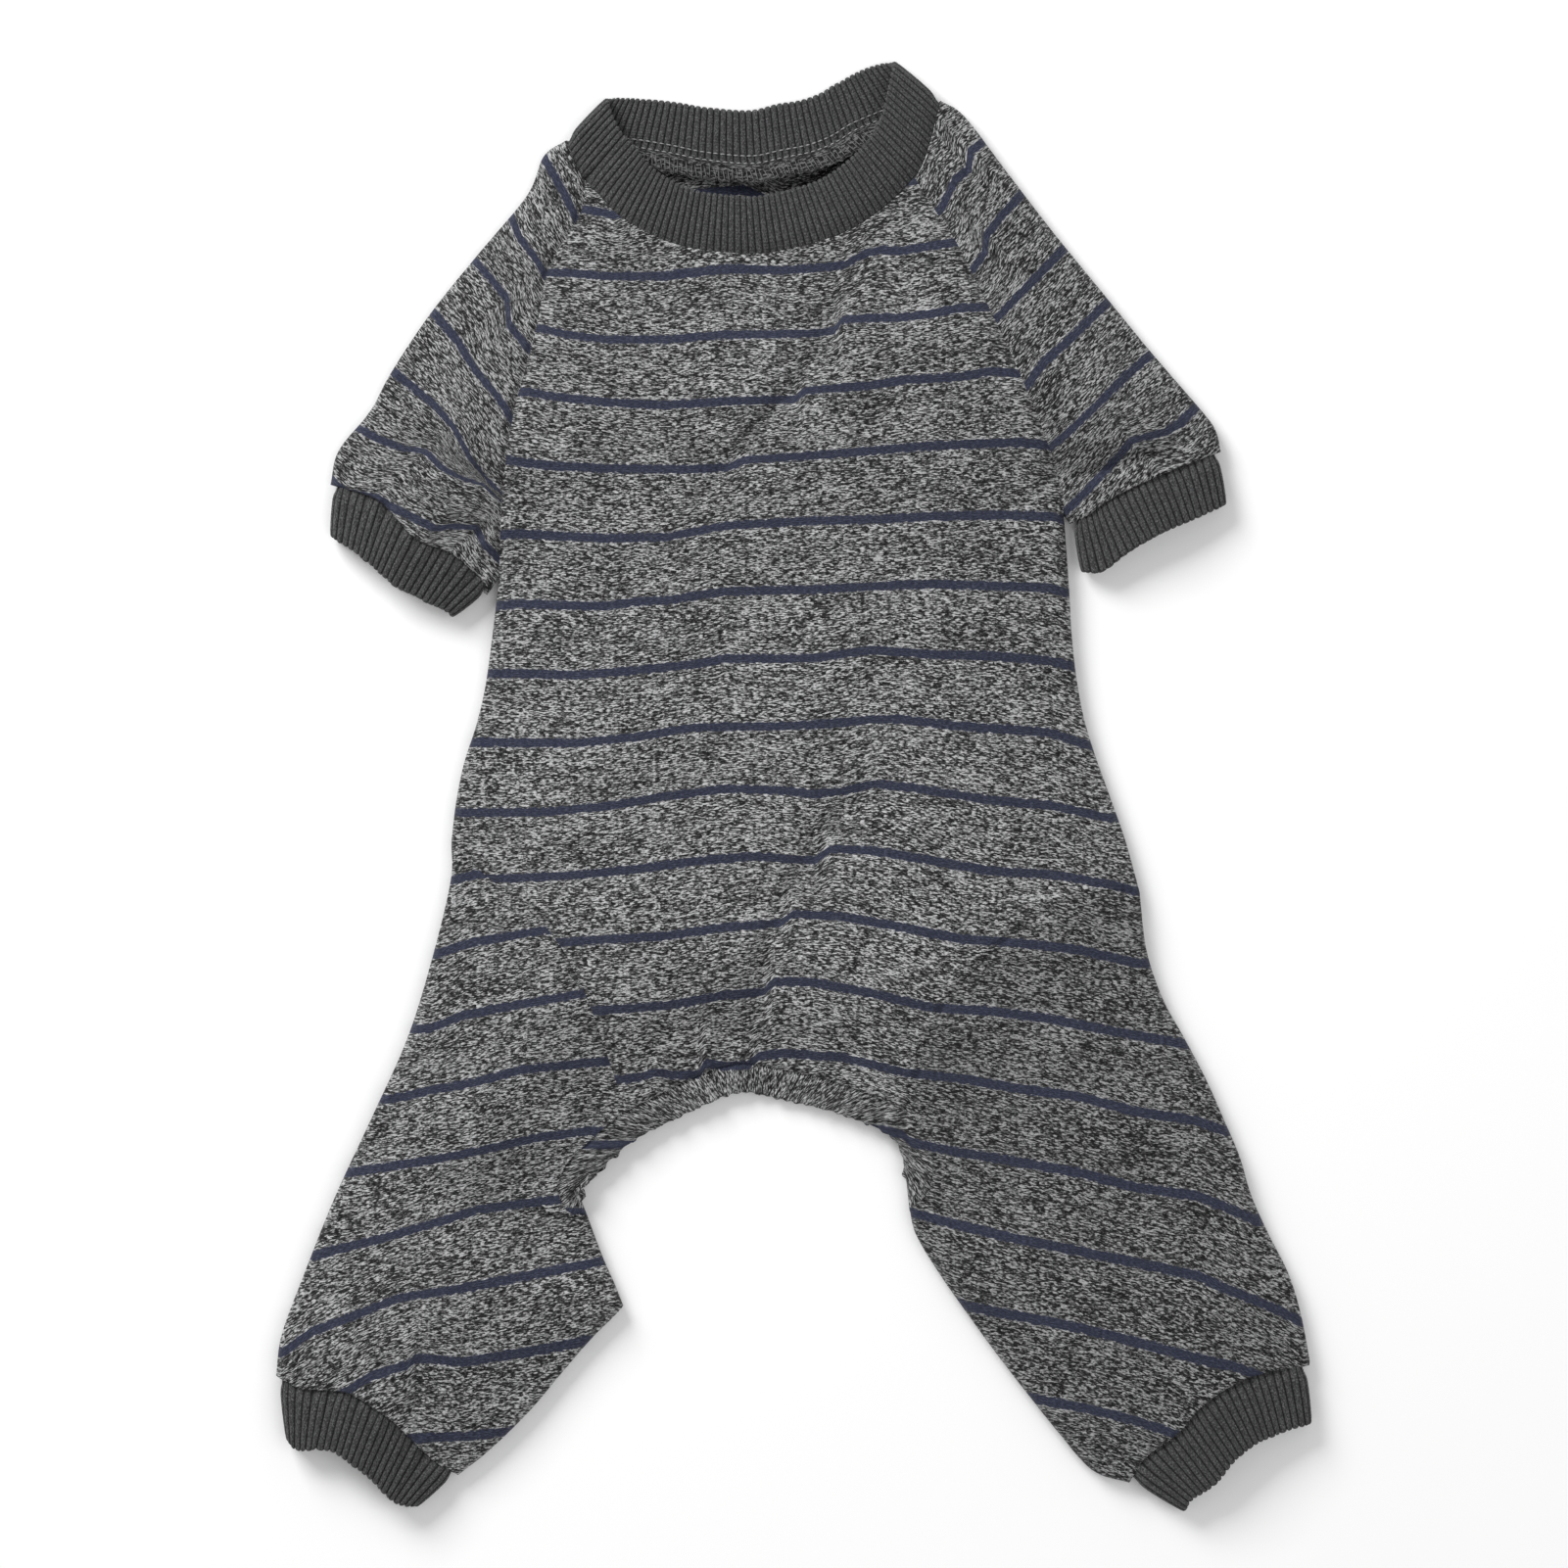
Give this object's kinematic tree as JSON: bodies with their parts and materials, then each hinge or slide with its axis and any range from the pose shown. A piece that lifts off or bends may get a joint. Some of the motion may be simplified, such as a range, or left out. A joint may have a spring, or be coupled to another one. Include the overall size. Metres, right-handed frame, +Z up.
{
  "type": "dog jumpsuit",
  "caption": "Striped knitted dog jumpsuit laid flat: raglan sleeves, hind legs, rib collar and cuffs, and a gathered rear opening.",
  "frame": {"origin": "under the middle of the laid garment, on the surface that it lies on", "axes": "+Y towards the collar, +X towards the right of the picture, +Z up from the surface"},
  "size_m": [0.3384, 0.4742, 0.016],
  "materials": {
    "heather_jersey": "matte heather grey jersey with thin navy stripes",
    "leg_jersey": "matte darker heather grey jersey with thin navy stripes",
    "charcoal_rib": "matte charcoal rib knit",
    "hem_jersey": "matte heather grey jersey gathered on elastic"
  },
  "bodies": {
    "root": {"back_panel": "heather_jersey", "belly_panel": "heather_jersey", "sleeve_left": "heather_jersey", "sleeve_right": "heather_jersey", "leg_left": "leg_jersey", "leg_right": "leg_jersey", "collar": "charcoal_rib", "front_cuff_left": "charcoal_rib", "front_cuff_right": "charcoal_rib", "hind_cuff_left": "charcoal_rib", "hind_cuff_right": "charcoal_rib", "rear_hem": "hem_jersey"}
  },
  "joints": []
}
